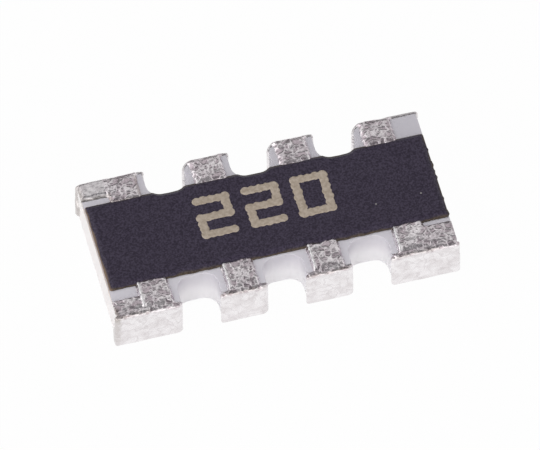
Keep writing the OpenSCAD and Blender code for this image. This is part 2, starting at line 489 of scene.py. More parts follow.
def ceramic_material():
    """Alumina: white with a touch of lavender, fine grain and a warm stain by the overcoat, and painted shade
    that darkens the walls upwards and the top towards the far right.
    """
    material, tree, shader = new_material("alumina")
    place = position(tree)
    cloud = grain(tree, place, scale=7.0, detail=3.0)
    grains = grain(tree, place, scale=95.0, roughness=0.6)
    parts = add(tree, "SeparateXYZ", Vector=place)
    # Painted shade on the top: lighter at the near left, darker towards the far right
    shade_slant = calc(tree, "MULTIPLY", parts.outputs["X"], TOP_SHADE_SLANT)
    shade_slant = calc(tree, "ADD", parts.outputs["Y"], shade_slant)
    # Painted shade on the walls: pale at the bottom and darker towards the top, in uneven clouds
    clouded_shade = calc(tree, "MULTIPLY", attribute(tree, "upper"), from_noise(tree, cloud, 0.85, 1.0))
    wall = blend(tree, clouded_shade, WALL_BOTTOM, WALL_TOP_SHADE)
    top = blend(tree, remap(tree, shade_slant, -0.7, 1.1), TOP_NEAR_LIT, TOP_FAR_SHADE)
    plain = blend(tree, attribute(tree, "top"), wall, top)
    stained = blend(tree, attribute(tree, "stain"), plain, WARM_STAIN)
    normal = bump(tree, grains, depth=8e-7, strength=0.5)
    dress(
        tree, shader, stained, from_noise(tree, grains, 0.5, 0.7), normal,
        Specular_IOR_Level=0.35,
        Subsurface_Weight=0.2,
        Subsurface_Radius=(1.0, 0.95, 0.95),
        Subsurface_Scale=0.00006,
    )
    return material


def coat_material():
    """Dark resin: purple-black with fine speckle, amber where it thins out at its edges."""
    material, tree, shader = new_material("overcoat_resin")
    place = position(tree)
    speckle = grain(tree, place, scale=55.0, detail=3.0, roughness=0.65)
    cloud = grain(tree, place, scale=5.0)
    dark = blend(tree, remap(tree, speckle, 0.36, 0.64), *COAT_TONES)
    amber = blend(tree, remap(tree, speckle, 0.35, 0.65), *AMBER_TONES)
    along = add(tree, "SeparateXYZ", Vector=place).outputs["X"]
    left_end = remap(tree, along, COAT_LOW[0], COAT_LOW[0] + AMBER_LEFT_W, AMBER_LEFT_SHARE, 0.0)
    amber = blend(tree, left_end, amber, AMBER_LEFT)
    reach = from_noise(tree, cloud, 0.010, 0.034)
    thin = remap(tree, attribute(tree, "edge"), 0.0, reach, 1.0, 0.0)
    tone = blend(tree, thin, dark, amber)
    for x, y in FLECKS:
        away = add(tree, "VectorMath", {"operation": "DISTANCE"}, n0=place, n1=(x, y, COAT_HIGH[2]))
        fleck = remap(tree, away.outputs["Value"], FLECK_R / 2, FLECK_R, 0.6, 0.0)
        tone = blend(tree, fleck, tone, FLECK_TONE)
    normal = bump(tree, speckle, depth=9e-7, strength=0.5)
    dress(tree, shader, tone, from_noise(tree, cloud, 0.42, 0.54), normal, Specular_IOR_Level=0.3)
    return material


def mark_material():
    """Burnt marking: beige with a mottled, dry surface."""
    material, tree, shader = new_material("marking_ink")
    mottle = grain(tree, position(tree), scale=30.0, detail=3.0, roughness=0.6)
    beige = blend(tree, from_noise(tree, mottle), *MARK_TONES)
    normal = bump(tree, mottle, depth=1.5e-6, strength=0.5)
    dress(tree, shader, beige, from_noise(tree, mottle, 0.6, 0.85), normal, Specular_IOR_Level=0.3)
    return material


def film_material(name, dark, light, metallic, roughness, features):
    """A printed or plated layer inside the chip, with its own grain."""
    material, tree, shader = new_material(name)
    flecks = grain(tree, position(tree), scale=features, detail=3.0, roughness=0.6)
    tone = blend(tree, from_noise(tree, flecks), dark, light)
    normal = bump(tree, flecks, depth=1e-6, strength=0.4)
    rough = from_noise(tree, flecks, roughness, roughness + 0.15)
    dress(tree, shader, tone, rough, normal, Metallic=metallic)
    return material


# Ceramic

def fillet(corners, step):
    """A closed outline through square corners (x, y, radius), with short steps."""
    outline = []
    for k, (x, y, radius) in enumerate(corners):
        corner = np.array((x, y))
        after = corners[(k + 1) % len(corners)]
        back = np.array(corners[k - 1][:2]) - corner
        ahead = np.array(after[:2]) - corner
        run = np.linalg.norm(ahead) - radius - after[2]
        back = back / np.linalg.norm(back)
        ahead = ahead / np.linalg.norm(ahead)
        centre = corner + radius * (back + ahead)
        parts = max(LEAST_TURNS, math.ceil(radius * math.pi / 2 / (step / 2)))
        for angle in np.linspace(0.0, math.pi / 2, parts + 1):
            outline.append(centre - radius * (ahead * math.cos(angle) + back * math.sin(angle)))
        parts = max(1, math.ceil(run / step))
        for n in range(1, parts):
            outline.append(corner + ahead * (radius + run * n / parts))
    return np.array(outline)


def notch_middles():
    """Where the notches are along the chip."""
    middles = []
    for k in range(1, ELEMENTS):
        left = box_mm(f"tin_plating_{k}")[1][0]
        right = box_mm(f"tin_plating_{k + 1}")[0][0]
        middles.append((left + right) / 2)
    return middles


def chip_outline():
    """The ceramic's outline from above, anticlockwise from its near left corner."""
    sides = []
    for turn, lead_r in ((1, NEAR_LEAD_R), (-1, FAR_LEAD_R)):
        corners = [(-HALF_L, -HALF_W, BACK_R)]
        for middle in sorted(turn * x for x in notch_middles()):
            left, right = middle - NOTCH_W / 2, middle + NOTCH_W / 2
            corners += [(left, -HALF_W, lead_r), (left, NOTCH_D - HALF_W, NOTCH_R)]
            corners += [(right, NOTCH_D - HALF_W, NOTCH_R), (right, -HALF_W, BACK_R)]
        corners.append((HALF_L, -HALF_W, BACK_R))
        sides += [(turn * x, turn * y, radius) for x, y, radius in corners]
    return fillet(sides, WALL_STEP)


def outward(outline):
    """Unit normals of an anticlockwise outline."""
    along = np.roll(outline, -1, axis=0) - np.roll(outline, 1, axis=0)
    normal = np.stack([along[:, 1], -along[:, 0]], axis=-1)
    return normal / np.linalg.norm(normal, axis=1, keepdims=True)


def ring_levels(rounding):
    """How far in and how high each ring of the ceramic's wall lies, from the underside up."""
    level = np.zeros_like(rounding)
    turns = np.linspace(0.0, math.pi / 2, EDGE_TURNS)
    bottom = [(rounding * (1 - math.sin(a)), BOTTOM + rounding * (1 - math.cos(a))) for a in turns]
    walls = math.ceil((TOP - BOTTOM) / WALL_STEP)
    middle = [(level, z + level) for z in np.linspace(BOTTOM, TOP, walls)[1:-1]]
    top = [(inset, BOTTOM + TOP - z) for inset, z in reversed(bottom)]
    flat = rounding + FLAT_RING
    return [(flat, BOTTOM + level)] + bottom + middle + top + [(flat, TOP + level)]


def ceramic_rings(outline, normal):
    """Rings of points round the plate, with its edges rounded more under the metal."""
    under_metal = smooth(np.abs(outline[:, 1]), HALF_W - TAB_CORNER_IN, HALF_W - TAB_CORNER_FULL)
    rounding = NOTCH_EDGE_R + (TAB_CORNER_R - NOTCH_EDGE_R) * under_metal
    rings = []
    for inset, z in ring_levels(rounding):
        flat = outline - normal * inset[:, None]
        rings.append(np.column_stack([flat, z]))
    return np.array(rings)


def hollow_walls(points, wall, at_end):
    """The rings with rough walls, roughest at the snapped ends."""
    all_over = noise(points, depth=0.0016, size=0.03, seed=5)
    depth = all_over + at_end * noise(points, depth=0.004, size=0.045, seed=6)
    level = smooth(points[..., 2], BOTTOM, BOTTOM + TAB_CORNER_R)
    level = level * smooth(-points[..., 2], -TOP, -TOP + TAB_CORNER_R)
    return points + wall * (np.minimum(depth, 0.0) * level)[..., None]


def ceramic_stain(points):
    """How warm the ceramic is: a little on its left end, more by the overcoat."""
    at_left = smooth(-points[..., 0], HALF_L - LEFT_IN, HALF_L - LEFT_FULL)
    by_coat = smooth(points[..., 2], TOP - STAIN_DROP, TOP - STAIN_FULL)
    by_coat = by_coat * smooth(STAIN_HALF_W - np.abs(points[..., 1]), 0.0, STAIN_FADE)
    mottle = STAIN_EVEN + noise(points, depth=0.25, size=0.08, seed=7)
    stain = at_left * (END_WARMTH + COAT_STAIN * by_coat * mottle)
    stain[-1] = 0.0
    return stain


def cap_triangles(outline):
    """Triangles that fill a closed anticlockwise outline."""
    loop = list(range(len(outline)))
    places = [Vector(p) for p in outline]
    found = geometry.delaunay_2d_cdt(places, [], [loop], CAP_INSIDE, CAP_LIMIT)
    original = [sources[0] for sources in found[3]]
    return np.array([[original[k] for k in triangle] for triangle in found[2]])


def ring_faces(points):
    """Faces between the rings, over the last one and under the first."""
    index = np.arange(points.shape[0] * points.shape[1]).reshape(points.shape[:2])
    after = np.roll(index, -1, axis=1)
    quads = np.stack([index[:-1], after[:-1], after[1:], index[1:]], axis=-1).reshape(-1, 4).tolist()
    cap = cap_triangles(points[-1, :, :2])
    return quads + (index[-1][cap]).tolist() + (index[0][cap[:, ::-1]]).tolist()


def build_ceramic(material):
    """The notched plate, with rounded edges, rough walls and snapped ends."""
    outline = chip_outline()
    normal = outward(outline)
    points = ceramic_rings(outline, normal)
    wall = np.column_stack([normal, np.zeros(len(outline))])[None]
    at_end = smooth(np.abs(points[..., 0]), HALF_L - END_IN, HALF_L - END_FULL) * np.abs(wall[..., 0])
    points = hollow_walls(points, wall, at_end)
    faces = ring_faces(points)
    looks = {
        "stain": ceramic_stain(points),
        # How strongly the walls are painted with shade towards the top, and where the top's own painted tone
        # takes over
        "upper": smooth(points[..., 2], BOTTOM + WALL_SHADE_FADE, TOP) * (1.0 - at_end),
        "top": smooth(points[..., 2], TOP - NOTCH_EDGE_R, TOP),
    }
    places = points.reshape(-1, 3)
    piece("ceramic_body", places, faces, material, ["ceramic_substrate"], looks)


# Terminals

def stops(start, end, step, least=1):
    """Places from start towards end, about step apart, without the end."""
    return np.linspace(start, end, max(least, math.ceil(abs(start - end) / step)), endpoint=False)


def tab_section(pad_reach, foot_reach, step):
    """Rows over a tab's top, down its end and under it.

    Each has its face (1 top, 0 end, -1 underside), inset, height, outward and upward parts and run.
    """
    turn = (TAB_EDGE_R + METAL_T) * math.pi / 2
    turns = np.linspace(0.0, 1.0, math.ceil(turn / step), endpoint=False)
    rows = []
    for inset in stops(pad_reach, TAB_EDGE_R, step):
        rows.append((1.0, inset, TOP, 0.0, 1.0, TAB_EDGE_R - inset))
    for part in turns:
        out, up = math.sin(part * math.pi / 2), math.cos(part * math.pi / 2)
        rows.append((0.0, TAB_EDGE_R * (1 - out), TOP - TAB_EDGE_R * (1 - up), out, up, part * turn))
    face_top, face_low = TOP - TAB_EDGE_R, BOTTOM + TAB_EDGE_R
    for z in stops(face_top, face_low, step):
        rows.append((0.0, 0.0, z, 1.0, 0.0, turn + face_top - z))
    end = turn + face_top - face_low
    for part in turns:
        out, down = math.cos(part * math.pi / 2), math.sin(part * math.pi / 2)
        height = BOTTOM + TAB_EDGE_R * (1 - down)
        rows.append((0.0, TAB_EDGE_R * (1 - out), height, out, -down, end + part * turn))
    feet = math.ceil((foot_reach - TAB_EDGE_R) / step)
    for inset in np.linspace(TAB_EDGE_R, foot_reach, feet):
        rows.append((-1.0, inset, BOTTOM, 0.0, -1.0, end + turn + inset - TAB_EDGE_R))
    return np.array(rows), end + turn


def corner_path(radius, wrap, step):
    """Places round a tab's corner, from the metal's end on its side.

    Each has its run in, its drop, and the sideways and outward parts of its normal.
    """
    path = []
    if wrap > radius:
        for drop in stops(wrap, radius, step, least=2):
            path.append((0.0, drop, 1.0, 0.0))
    start = math.asin(max(0.0, 1.0 - wrap / radius))
    parts = math.ceil((radius + METAL_T) * (math.pi / 2 - start) / step)
    for angle in np.linspace(start, math.pi / 2, parts, endpoint=False):
        side, ahead = math.cos(angle), math.sin(angle)
        path.append((radius * (1 - side), radius * (1 - ahead), side, ahead))
    return path


def tab_path(left, right, near, step):
    """Columns round a tab from left to right: x, drop and normal, and their runs."""
    back, at_end = (BACK_R, BACK_WRAP), (BACK_R, END_WRAP)
    left_r, left_wrap = back if near else (FAR_LEAD_R, FAR_LEAD_WRAP)
    right_r, right_wrap = (NEAR_LEAD_R, NEAR_LEAD_WRAP) if near else back
    if ends_chip(left):
        left_r, left_wrap = at_end
    if ends_chip(right):
        right_r, right_wrap = at_end
    start, end = left + left_r, right - right_r
    turned = corner_path(left_r, left_wrap, step)
    columns = [(left + run, drop, -side, ahead) for run, drop, side, ahead in turned]
    columns += [(x, 0.0, 0.0, 1.0) for x in np.linspace(start, end, math.ceil((end - start) / step))]
    turned = reversed(corner_path(right_r, right_wrap, step))
    columns += [(right - run, drop, side, ahead) for run, drop, side, ahead in turned]
    columns = np.array(columns)
    steps = np.hypot(np.diff(columns[:, 0]), np.diff(columns[:, 1]))
    return columns, np.concatenate([[0.0], np.cumsum(steps)])


def ends_chip(x):
    """Whether a tab's side lies at an end of the chip."""
    return abs(x) > HALF_L - GROW


class Tab:
    """One terminal's tab as a grid, with the shape of the metal on it."""

    def __init__(self, number, step):
        self.number = number
        self.near = number <= ELEMENTS
        self.side = -1.0 if self.near else 1.0
        (self.left, _, _), (self.right, _, _) = box_mm(f"tin_plating_{number}")
        self.pad_low, self.pad_high = box_mm(f"top_electrode_{number}")
        self.foot_low, self.foot_high = box_mm(f"bottom_electrode_{number}")
        coat_edge = -COAT_LOW[1] if self.near else COAT_HIGH[1]
        self.coat_depth = HALF_W - coat_edge
        self.pad_reach = self.coat_depth + PAD_OVERLAP
        self.foot_reach = self.depth_of(self.foot_low, self.foot_high) + GROW
        self.lay_grid(step)
        self.measure()
        self.texture()
        self.shape()

    def depth_of(self, low, high):
        """How far a box reaches in from the tab's edge."""
        return HALF_W - np.abs([low[1], high[1]]).min()

    def by_side(self, near, far):
        """The value for the near terminals or for the far ones."""
        return near if self.near else far

    def by_face(self, top, end, under):
        """The value for the tab's top, for its end or for its underside."""
        return np.where(self.face > 0, top, np.where(self.face < 0, under, end))

    def lay_grid(self, step):
        """Base points and normals of the grid, and where its crisp corners are."""
        foot_end = self.foot_reach + FOOT_SPARE * step
        rows, self.section_end = tab_section(self.pad_reach + PAD_SPARE, foot_end, step)
        columns, run = tab_path(self.left, self.right, self.near, step)
        self.face, inset, z, out, up, self.along = rows.T[:, :, None]
        x, self.drop, side, ahead = columns.T[:, None, :]
        flat = self.face != 0.0
        self.x = np.where(flat, x, x - side * inset)
        self.depth = np.where(flat, self.drop + inset, self.drop + ahead * inset)
        self.z = np.broadcast_to(z, self.x.shape)
        self.normal = grid(side * out, self.side * ahead * out, up)
        crisp = (side < 0.0) == self.near
        self.corner = (2.0 * side * ahead) ** 2 * crisp * out + (2.0 * out * np.minimum(up, 0.0)) ** 2
        self.round = self.from_ends(run)
        self.base = grid(self.x, self.side * (HALF_W - self.depth), self.z)
        self.at = self.base + self.normal * METAL_T

    def from_ends(self, run):
        """How far each point lies from the metal's two ends, which draw back high on the chip's ends."""
        spare = END_WRAP - BACK_WRAP
        spare = spare * smooth(self.z, END_WRAP_Z - END_WRAP_FADE, END_WRAP_Z + END_WRAP_FADE)
        from_left = run[None, :] - spare * ends_chip(self.left)
        from_right = (run[-1] - run)[None, :] - spare * ends_chip(self.right)
        return np.minimum(from_left, from_right)

    def mottle(self, size, seed, depth=1.0):
        """Roughness of this terminal's own."""
        return noise(self.at, size, seed + self.number, depth)

    def inside_box(self, left, right, reach):
        """How far each point lies inside a strip of metal with round inner corners."""
        radius = METAL_CORNER_R
        across = np.minimum(self.x - left, right - self.x)
        along = reach - self.depth
        corner = radius - np.hypot(np.maximum(radius - across, 0.0), np.maximum(radius - along, 0.0))
        return np.where((across < radius) & (along < radius), corner, np.minimum(across, along))

    def measure(self):
        """How far each point lies inside the metal's outline, on the pad, the band and in all."""
        wobble = self.mottle(depth=0.005, size=0.06, seed=20) + self.mottle(depth=0.004, size=0.022, seed=40)
        ragged = self.mottle(depth=0.010, size=0.07, seed=160) + self.mottle(depth=0.006, size=0.02, seed=180)
        inner = smooth(self.depth, self.coat_depth - RAGGED_IN, self.coat_depth)
        self.pad = self.inside_box(self.pad_low[0] - GROW, self.pad_high[0] + GROW, self.pad_reach)
        self.pad = self.pad + wobble + ragged * inner
        lip_reach = self.by_side(*LIP_D) + GROW
        lip = lip_reach - self.depth + wobble
        foot = self.inside_box(self.foot_low[0] - GROW, self.foot_high[0] + GROW, self.foot_reach)
        foot = foot + wobble
        self.band = self.band_inside() + wobble
        climb = np.maximum(np.minimum(self.along, self.section_end - self.along), 0.0)
        wide = np.where(self.along < self.section_end / 2, np.maximum(self.pad, self.band), foot)
        brim = np.maximum(lip_reach - TAB_EDGE_R - self.drop + wobble, wide) + climb
        end = np.minimum(self.round - WRAP_MARGIN + wobble, brim)
        top = np.maximum(np.maximum(self.pad, lip), self.band)
        under = np.maximum(foot, lip)
        self.inside = self.by_face(top, end, under)

    def band_inside(self):
        """How far each point lies inside the metal beside a corner terminal's pad."""
        edge_low, edge_high = box_mm(f"edge_electrode_{self.number}")
        reach = self.depth_of(edge_low, edge_high) + GROW + FOURTH_BAND * (self.number == ELEMENTS)
        middle = (self.pad_low[0] + self.pad_high[0]) / 2
        if reach >= BAND_MIN and ends_chip(self.left):
            return self.inside_box(self.left - GROW, middle, reach)
        if reach >= BAND_MIN and ends_chip(self.right):
            return self.inside_box(middle, self.right + GROW, reach)
        return np.full_like(self.x, -1.0)

    def texture(self):
        """Where the pad is level, the crystals coarse, where the lines of painted rim shade run, and where
        the beads run, which also carry a painted highlight.
        """
        on_top = self.face > 0
        self.wave = self.along + self.mottle(depth=0.018, size=0.08, seed=140)
        self.wave = self.wave + self.mottle(depth=0.010, size=0.03, seed=240)
        on_pad = smooth(self.pad, *self.by_side(*PAD_RANGES))
        level = smooth(self.depth, *self.by_side(*LEVEL_RANGES))
        self.level = np.where(on_top, on_pad * level, 0.0)
        on_band = smooth(self.band, 0.0, 0.03) * smooth(self.depth, 0.02, 0.05)
        on_band = self.by_side(*BAND_COARSE) * np.where(on_top, on_band, 0.0)
        far_rim = FAR_RIM_COARSE + FAR_PAD_RIM_COARSE * smooth(self.pad, -0.03, 0.01)
        rim = self.by_side(NEAR_RIM_COARSE, far_rim) * (1.0 - smooth(self.wave, 0.035, 0.085)) + FACE_COARSE
        rim = np.where(self.face < 0, FOOT_COARSE, rim)
        breaks = smooth(self.mottle(size=0.12, seed=260), -0.5, 0.2)
        # Painted shade: a broken dark brown line along each near rim's turn
        self.rim_shade_line = peak(self.wave, RIM_LINE_RUN, RIM_LINE_W) * breaks * self.near
        # Where the raised bead runs along each near pad's left edge, also painted with a highlight
        self.bead_and_highlight = peak(self.x, self.pad_low[0] - GROW + BEAD_IN, BEAD_W) * self.level * self.near
        self.coarse = np.maximum(rim, np.maximum(self.level, on_band)) * (1.0 - BEAD_POLISH * self.bead_and_highlight)

    def thickness(self):
        """How thick the metal is, away from its edges."""
        thick = METAL_T + PAD_CROWN * self.level + PAD_BEAD * self.bead_and_highlight + CORNER_FILL * self.corner
        if self.near:
            fallen = smooth(self.wave, -RIM_DEPTH, -0.005)
            thick = thick - RIM_DROP * fallen * (1.0 - smooth(self.wave, 0.005, 0.06))
            beside = 1.0 - smooth(self.pad, *BESIDE_PAD)
            breaks = smooth(self.mottle(size=0.11, seed=120), -0.1, 0.5)
            ridge = peak(self.wave, RIDGE_RUN, RIDGE_W) * breaks
            thick = thick + RIM_RIDGE * ridge * (RIDGE_ON_PAD + RIDGE_BESIDE * beside)
        past_edge = self.depth - self.coat_depth
        over_coat = (self.face > 0) & (past_edge > 0.0)
        return np.maximum(thick, np.where(over_coat, coat_height(past_edge) + PAD_RIDE, 0.0))

    def edge_profile(self):
        """The metal's share of its thickness: it rises fast at most edges and slowly at its lips."""
        width = np.where(self.face > 0, self.by_side(*PAD_EDGES), EDGE_WIDTH)
        profile = quarter_round(self.inside, width)
        raised = self.by_side(np.maximum(self.pad, self.band), self.pad)
        on_lip = 1.0 - smooth(raised, *BESIDE_PAD)
        share = self.by_face(1.0, 1.0 - smooth(self.along, 0.02, 0.07), 0.0)
        return profile + (smooth(self.inside, 0.0, LIP_FADE) - profile) * on_lip * share

    def shape(self):
        """The heights of the tin, the nickel and the end metal over the tab."""
        relief = self.mottle(depth=0.0034, size=0.042, seed=60)
        relief = relief + self.mottle(depth=0.0034, size=0.085, seed=80)
        slow = self.mottle(depth=0.0014, size=0.13, seed=100)
        height = (self.thickness() + relief * self.coarse + slow) * self.edge_profile()
        to_floor = self.z / np.maximum(-self.normal[..., 2], TINY)
        height = np.maximum(np.minimum(height, to_floor), 0.0)
        sunk = np.maximum(self.inside * SINK_SLOPE, -SINK)
        self.tin = np.where(self.inside > 0, height, sunk)
        under_tin = np.minimum(NICKEL_T, self.tin - LAYER_MIN)
        self.nickel = np.where(self.inside > METAL_T - NICKEL_T, under_tin, -SINK)
        under_nickel = np.minimum(SILVER_T, self.nickel - LAYER_MIN)
        self.silver = np.where(self.inside > GROW, under_nickel, -SINK)

    def stain_and_rim_shade(self):
        """Painted shade in brown along the near rims, and brown stains at the chip's two left corners."""
        if self.number == 1:
            return np.maximum(self.brown_corner(), FIRST_RIM_SHADE_BROWN * self.rim_shade_line)
        if self.number == TERMINALS:
            return self.brown_wrap()
        return RIM_SHADE_BROWN * self.rim_shade_line

    def brown_corner(self):
        """A stain on the first terminal's outer corner, with a tail down its upright edge."""
        inwards = SPOT_BROWN_IN * np.maximum(self.along, -SPOT_BROWN_END)
        down = np.where(self.along > 0.0, SPOT_BROWN_DOWN * self.along, inwards)
        away = np.hypot(self.x - self.left - SPOT_BROWN_X, down)
        fading = SPOT_BROWN - SPOT_BROWN_LOSS * smooth(self.along, 0.04, 0.12)
        return fading * (1.0 - smooth(away + self.mottle(depth=0.012, size=0.03, seed=220), 0.008, 0.045))

    def brown_wrap(self):
        """A stain on the last terminal's wrap round the chip's end, and along its pad's edges."""
        away = self.x - self.left + self.mottle(depth=0.012, size=0.04, seed=230)
        wrap = 1.0 - smooth(away, 0.0, 0.04)
        pad_edge = (1.0 - smooth(self.inside, 0.015, 0.035)) * (self.face > 0)
        return np.maximum(WRAP_BROWN * wrap, PAD_EDGE_BROWN * pad_edge)

    def layer(self, name, outer, inner, keep_points, material, slot, node):
        """A closed shell of the tab's metal between two heights."""
        upper = self.base + self.normal * outer[..., None]
        lower = self.base + self.normal * np.minimum(inner, outer - SHELL_MIN)[..., None]
        looks = {"coarse": self.coarse, "stain_and_rim_shade": self.stain_and_rim_shade(), "bead_and_highlight": self.bead_and_highlight}
        points, faces, looks = shell(upper, lower, cells_with(keep_points), self.near, **looks)
        piece(f"{name}_{self.number}", points, faces, material, [f"{node}_{self.number}"], looks)

    def over_electrodes(self):
        """Where the printed silver lies under the metal."""
        across_pad = (self.x > self.pad_low[0]) & (self.x < self.pad_high[0])
        across_foot = (self.x > self.foot_low[0]) & (self.x < self.foot_high[0])
        return self.by_face(across_pad, False, across_foot)


def build_terminal(number, tin, nickel, edge_metal):
    """One terminal's plating: mottled tin over nickel over the metal on the tab's end."""
    fine = Tab(number, GRID_STEP)
    gap = np.where(fine.nickel > 0.0, fine.nickel + LAYER_GAP, -SINK)
    fine.layer("terminal", fine.tin, gap, fine.tin > -SINK + TINY, tin, "tin", "tin_plating")
    plain = Tab(number, INNER_STEP)
    silver = plain.over_electrodes()
    under = np.where(silver | (plain.silver > 0.0), SILVER_T + LAYER_GAP, -SINK)
    plain.layer("barrier", plain.nickel, under, plain.nickel > 0.0, nickel, "nickel", "nickel_barrier")
    end = (plain.silver > 0.0) & ~silver
    sunk = np.full_like(plain.silver, -SINK)
    plain.layer("end_metal", plain.silver, sunk, end, edge_metal, "edge_metal", "edge_electrode")


# Overcoat

def far_limit(x):
    """The overcoat's far edge along the chip, drawn in round the notches."""
    limit = np.full_like(x, COAT_HIGH[1])
    bottom = HALF_W - NOTCH_D
    for middle in notch_middles():
        away = np.abs(x - middle)
        past_flat = np.maximum(away - (NOTCH_W / 2 - NOTCH_R), 0.0)
        edge = bottom + round_off(past_flat, NOTCH_R) - NOTCH_MARGIN
        limit = np.minimum(limit, np.where(away < NOTCH_W / 2, edge, np.inf))
    return limit


def uneven(start, end, fine, coarse, edge):
    """Places between two ends, close together near both and wider apart between."""
    rise = np.arange(0.0, edge, fine)
    parts = math.ceil((end - start - 2 * edge) / coarse)
    between = np.linspace(start + edge, end - edge, parts + 1)
    return np.concatenate([start + rise, between, (end - rise)[::-1]])


def coat_height(edge):
    """How high the overcoat stands above the ceramic, so far in from its edge."""
    full = COAT_HIGH[2] - TOP
    return COAT_EDGE_T + (full - COAT_EDGE_T) * smooth(edge, -COAT_RISE_OUT * COAT_RISE, COAT_RISE)


def coat_sides(x, from_end):
    """The overcoat's near and far edges along the chip, wavy and with round corners."""
    line = grid(x, 0.0, 0.0)
    near_wave = noise(line, depth=COAT_WAVE, size=0.09, seed=200)
    near_wave = near_wave + noise(line, depth=COAT_WAVE / 2, size=0.03, seed=201)
    pull = round_off(np.maximum(COAT_CORNER - from_end, 0.0), COAT_CORNER)
    near = COAT_LOW[1] + near_wave + pull
    far = far_limit(x) + np.minimum(noise(line, depth=0.7 * COAT_WAVE, size=0.1, seed=202), 0.0) - pull
    return near, far


def wavy_ends(x, y, x0, x1):
    """The grid's x, with a wavy left end and tiny teeth at the right end."""
    across = grid(0.0, y, 0.0)
    wave = np.abs(noise(across, depth=COAT_WAVE, size=0.08, seed=203))
    teeth = np.maximum(noise(across, depth=COAT_TEETH, size=0.035, seed=205), 0.0)
    at_left = smooth(-x, -x0 - COAT_END_FADE, -x0)
    at_right = smooth(x, x1 - COAT_END_FADE, x1)
    return x + wave * at_left + teeth * at_right


def coat_hollows(x, y):
    """How high the films under the overcoat stand above the ceramic."""
    height = np.zeros_like(y)
    films = [f"glass_passivation_{k}" for k in range(1, ELEMENTS + 1)]
    films += [f"top_electrode_{i}" for i in range(1, TERMINALS + 1)]
    for name in films:
        low, high = box_mm(name)
        along = (x > low[0] - HOLLOW_MARGIN) & (x < high[0] + HOLLOW_MARGIN)
        across = (y > low[1] - HOLLOW_MARGIN) & (y < high[1] + HOLLOW_MARGIN)
        hollow = high[2] - TOP + HOLLOW_GAP
        height = np.where(along & across, np.maximum(height, hollow), height)
    return height


def build_coat(material):
    """The dark coat: wavy thin edges, a level top and hollows over the films inside."""
    x0, x1 = COAT_LOW[0], COAT_HIGH[0] + COAT_RIGHT
    x = uneven(x0, x1, fine=0.005, coarse=0.0125, edge=0.06)
    from_end = np.minimum(x - x0, x1 - x)
    y_near, y_far = coat_sides(x, from_end)
    share = uneven(0.0, 1.0, fine=0.0055, coarse=0.014, edge=0.066)
    y = y_near[None, :] + (y_far - y_near)[None, :] * share[:, None]
    xx = wavy_ends(np.broadcast_to(x[None, :], y.shape), y, x0, x1)
    edge = np.minimum(np.minimum(y - y_near[None, :], y_far[None, :] - y), from_end[None, :])
    edge = np.maximum(edge, 0.0)
    at = grid(xx, y, 0.0)
    height = coat_height(edge) + noise(at, depth=0.0004, size=0.12, seed=204) * smooth(edge, 0.0, COAT_RISE)
    under = np.minimum(coat_hollows(xx, y), height - COAT_MIN)
    outer = grid(xx, y, TOP + height)
    inner = grid(xx, y, TOP + under)
    keep = np.ones((y.shape[0] - 1, y.shape[1] - 1), dtype=bool)
    points, faces, looks = shell(outer, inner, keep, flip=True, edge=edge)
    piece("overcoat_body", points, faces, material, ["overcoat"], looks)


# Marking

def stroke_ends(figure, half_w, half_h):
    """The corner points of a figure's strokes, about its middle."""
    if figure == "2":
        path = ((-1, 1), (1, 1), (1, 0), (-1, 0), (-1, -1), (1, -1))
    else:
        path = ((-1, 1), (1, 1), (1, -1), (-1, -1), (-1, 1))
    return [np.array((a * half_w, b * half_h)) for a, b in path]


def figure_distance(x, y, path, draw):
    """How far each point lies inside a figure made of overlapping burnt spots."""
    inside = np.full_like(x, -1.0)
    for start, end in zip(path[:-1], path[1:]):
        run = end - start
        length = np.linalg.norm(run)
        along = np.clip(((x - start[0]) * run[0] + (y - start[1]) * run[1]) / length**2, 0.0, 1.0)
        away = np.hypot(x - start[0] - along * run[0], y - start[1] - along * run[1])
        inside = np.maximum(inside, CORE_HALF - away)
        for part in np.linspace(0.0, 1.0, max(2, round(length / SPOT_STEP) + 1)):
            centre = start + part * run + draw.uniform(-SPOT_JITTER, SPOT_JITTER, 2)
            radius = SPOT_R + draw.uniform(-0.6, 0.3) * SPOT_JITTER
            inside = np.maximum(inside, radius - np.hypot(x - centre[0], y - centre[1]))
    return inside


def figure_shell(x, y, inside, place):
    """Points and faces of one figure: a low shell with round edges, at its place in the row."""
    sheet_t = MARK_HIGH[2] - MARK_LOW[2]
    sunk = np.maximum(inside * MARK_SINK_SLOPE, -MARK_SINK)
    height = np.where(inside > 0, sheet_t * quarter_round(inside, MARK_EDGE_W), sunk)
    under = np.minimum(height, 0.0) - MARK_UNDER
    across = x + (place - 1) * DIGIT_PITCH
    along = y + (MARK_LOW[1] + MARK_HIGH[1]) / 2
    outer = grid(across, along, MARK_LOW[2] + height)
    inner = grid(across, along, MARK_LOW[2] + under)
    points, faces, _ = shell(outer, inner, cells_with(height > -MARK_KEEP), flip=True)
    return points, np.array(faces)


def build_marking(material):
    """The value in burnt spots on the overcoat."""
    draw = np.random.default_rng(SPOT_SEED)
    half_w = (DIGIT_W - STROKE_W) / 2
    half_h = (MARK_HIGH[1] - MARK_LOW[1] - STROKE_W) / 2
    rows = np.arange(-half_h - STROKE_W, half_h + STROKE_W, MARK_STEP)
    columns = np.arange(-half_w - STROKE_W, half_w + STROKE_W, MARK_STEP)
    x, y = np.meshgrid(columns, rows)
    all_points, all_faces, start = [], [], 0
    for place, figure in enumerate(FIGURES):
        inside = figure_distance(x, y, stroke_ends(figure, half_w, half_h), draw)
        at = grid(x + place, y, 0.0)
        points, faces = figure_shell(x, y, inside + noise(at, depth=0.0025, size=0.025, seed=301), place)
        all_points.append(points)
        all_faces += (faces + start).tolist()
        start += len(points)
    points = np.concatenate(all_points)
    piece("marking_figures", points, all_faces, material, ["value_marking"])


# Studio

